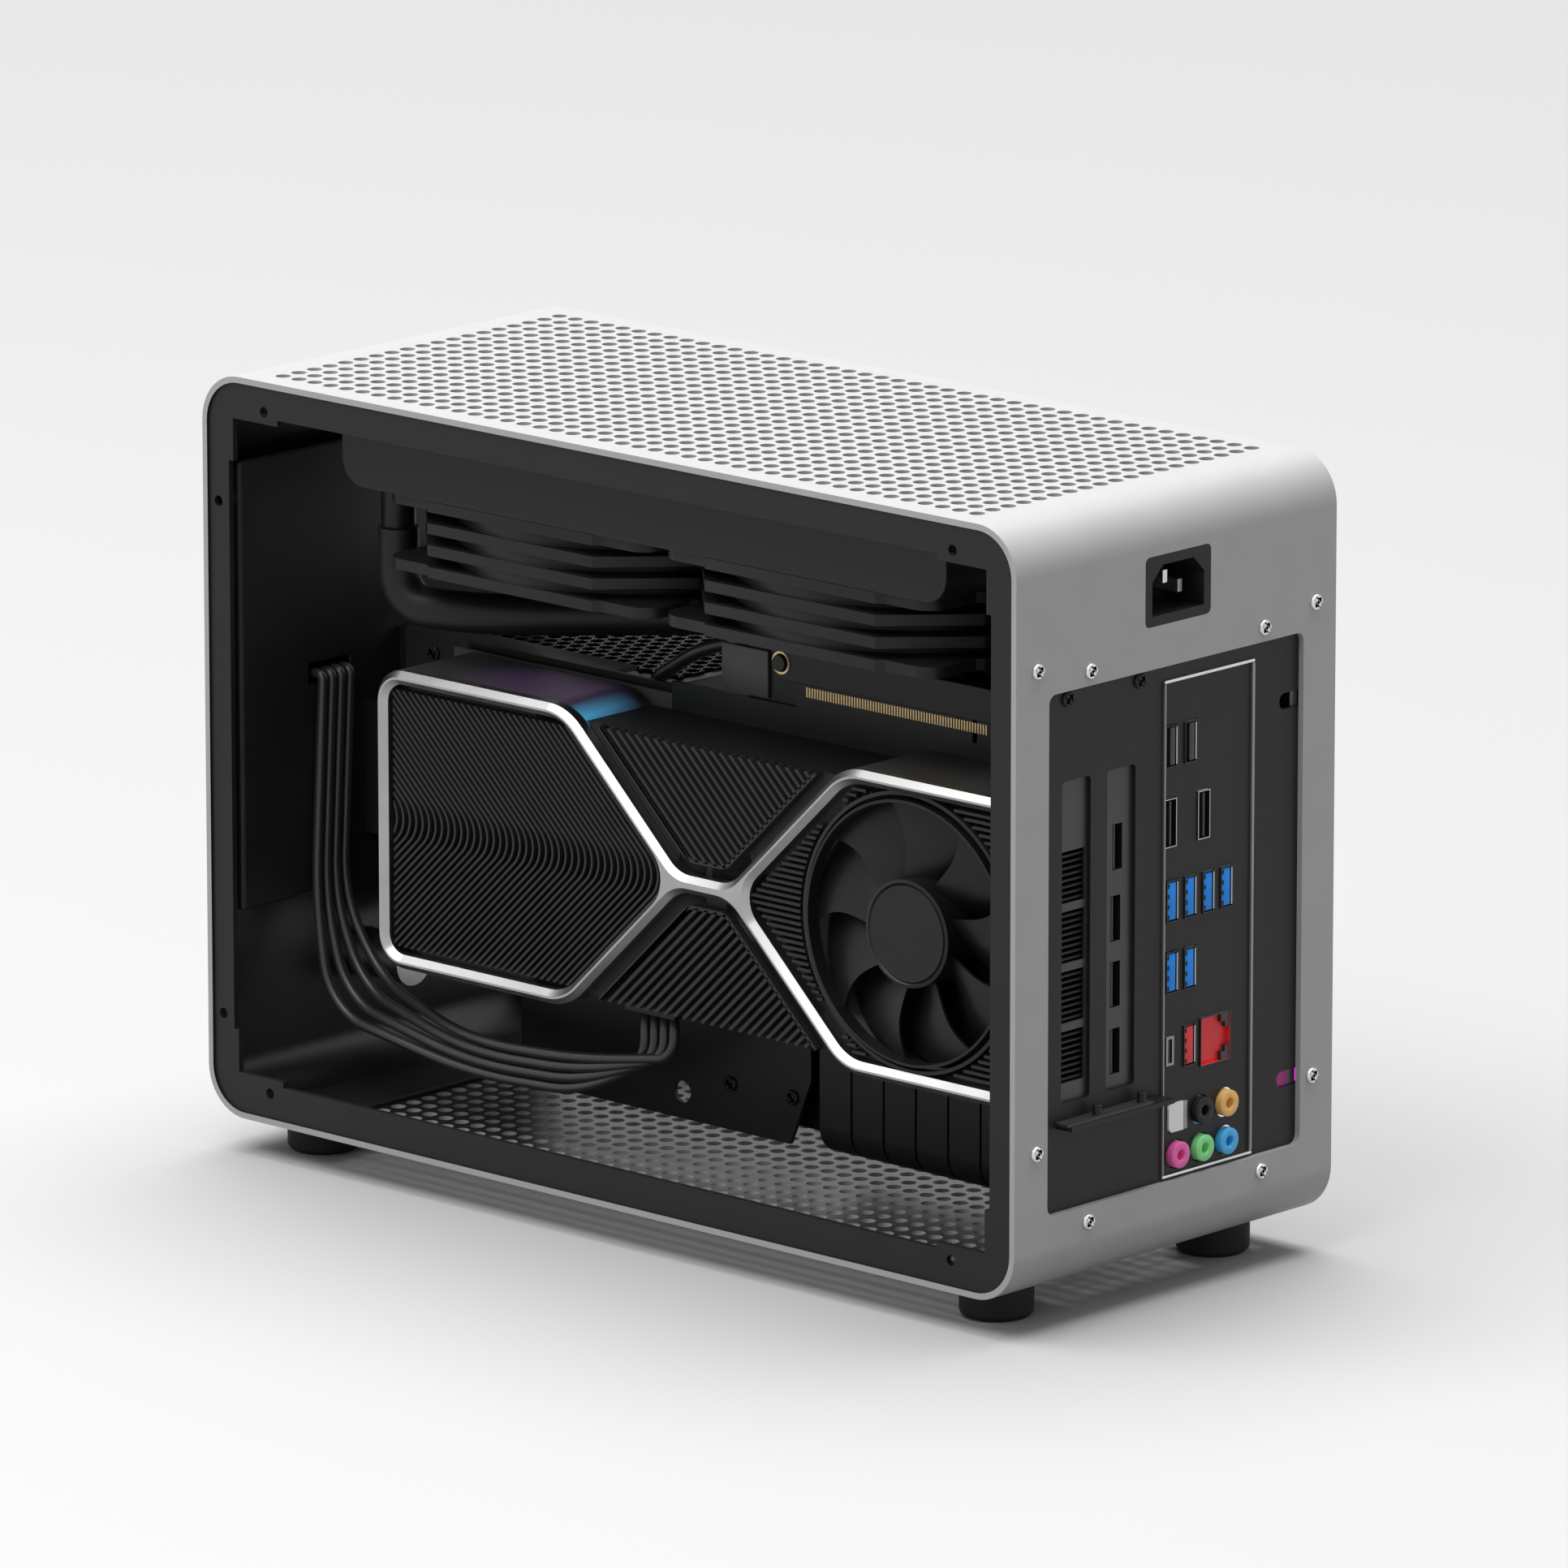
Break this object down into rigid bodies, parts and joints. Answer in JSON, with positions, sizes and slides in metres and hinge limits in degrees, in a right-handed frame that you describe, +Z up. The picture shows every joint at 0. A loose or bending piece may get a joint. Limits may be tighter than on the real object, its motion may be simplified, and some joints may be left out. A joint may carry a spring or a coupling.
{
  "type": "small computer case with its build",
  "caption": "Small upright computer in a bent, perforated grey metal loop on rubber feet, side covers off, with graphics card, radiator, fans, power supply and rear ports.",
  "frame": {"origin": "middle of the bounding box at its lowest point, on the floor under the feet", "axes": "+X towards the rear panel with the ports, +Y towards the side with the board, +Z up"},
  "size_m": [0.3578, 0.1494, 0.257],
  "materials": {
    "shell_grey": "satin bead-blasted grey",
    "black_steel": "satin black powder coat",
    "foot_rubber": "matte",
    "bright_steel": "bright",
    "black_plastic": "satin",
    "circuit_board": "satin black laminate",
    "port_blue": "satin",
    "port_red": "satin",
    "port_white": "satin",
    "port_orange": "gloss",
    "port_pink": "gloss",
    "port_green": "gloss",
    "port_sky": "gloss",
    "bracket_grey": "satin dark nickel",
    "card_silver": "satin",
    "card_grey": "satin",
    "card_black": "satin black",
    "cooler_black": "satin black",
    "hose_sleeve": "braided",
    "lead_sleeve": "woven"
  },
  "bodies": {
    "case": {"audio_jack_black": "black_plastic", "audio_jack_blue": "port_sky", "audio_jack_green": "port_green", "audio_jack_orange": "port_orange", "audio_jack_pink": "port_pink", "back_plate": "black_steel", "board_heatsink": "card_grey", "card_backplate": "card_grey", "card_board": "circuit_board", "card_bracket": "bracket_grey", "card_frame": "card_silver", "card_heatsink": "card_black", "card_ports": "bracket_grey", "card_shroud": "card_grey", "card_socket": "black_plastic", "fan_frame_front": "black_plastic", "fan_frame_rear": "black_plastic", "fan_lead": "lead_sleeve", "far_frame": "black_steel", "foot_front_far": "foot_rubber", "foot_front_near": "foot_rubber", "foot_rear_far": "foot_rubber", "foot_rear_near": "foot_rubber", "front_floor_plate": "black_steel", "front_plate": "black_steel", "hose_far": "hose_sleeve", "hose_near": "hose_sleeve", "inlet_pins": "bright_steel", "inner_screws": "black_steel", "io_shield": "black_steel", "memory_stick_1": "black_steel", "memory_stick_2": "black_steel", "motherboard": "circuit_board", "near_frame": "black_steel", "network_port": "port_red", "optical_port": "port_white", "outer_shell": "shell_grey", "power_inlet": "black_plastic", "power_leads": "lead_sleeve", "pump_block": "black_plastic", "radiator": "cooler_black", "radiator_bracket": "black_steel", "rear_screws": "bright_steel", "riser_ends": "black_plastic", "riser_ribbon": "black_plastic", "spine_plate": "black_steel", "supply_guard": "black_steel", "supply_housing": "black_steel", "switch_body": "bright_steel", "usb_black_ports": "bright_steel", "usb_blue_ports": "port_blue", "usb_red_port": "port_red", "usb_small_port": "bright_steel", "video_ports": "bright_steel"},
    "power_button": {"switch_cap": "bright_steel"},
    "front_fan": {"fan_rotor_front": "black_plastic"},
    "rear_fan": {"fan_rotor_rear": "black_plastic"},
    "card_near_fan": {"card_rotor_front": "black_plastic"},
    "card_far_fan": {"card_rotor_rear": "black_plastic"},
    "supply_fan": {"supply_rotor": "black_plastic"}
  },
  "joints": [
    {"name": "button_press", "type": "slide", "parent": "case", "child": "power_button", "axis": [1, 0, 0], "range_m": [0, 0.0015], "stiffness_N_per_m": 800},
    {"name": "front_fan_spin", "type": "hinge", "parent": "case", "child": "front_fan", "pos_m": [-0.05355, 0, 0.212], "axis": [0, 0, 1], "continuous": true},
    {"name": "rear_fan_spin", "type": "hinge", "parent": "case", "child": "rear_fan", "pos_m": [0.06705, 0, 0.212], "axis": [0, 0, 1], "continuous": true},
    {"name": "card_near_fan_spin", "type": "hinge", "parent": "case", "child": "card_near_fan", "pos_m": [0.11145, -0.044, 0.1163], "axis": [0, -1, 0], "continuous": true},
    {"name": "card_far_fan_spin", "type": "hinge", "parent": "case", "child": "card_far_fan", "pos_m": [-0.06095, -0.027, 0.1163], "axis": [0, 1, 0], "continuous": true},
    {"name": "supply_fan_spin", "type": "hinge", "parent": "case", "child": "supply_fan", "pos_m": [-0.10085, 0.057, 0.112], "axis": [0, 1, 0], "continuous": true}
  ]
}
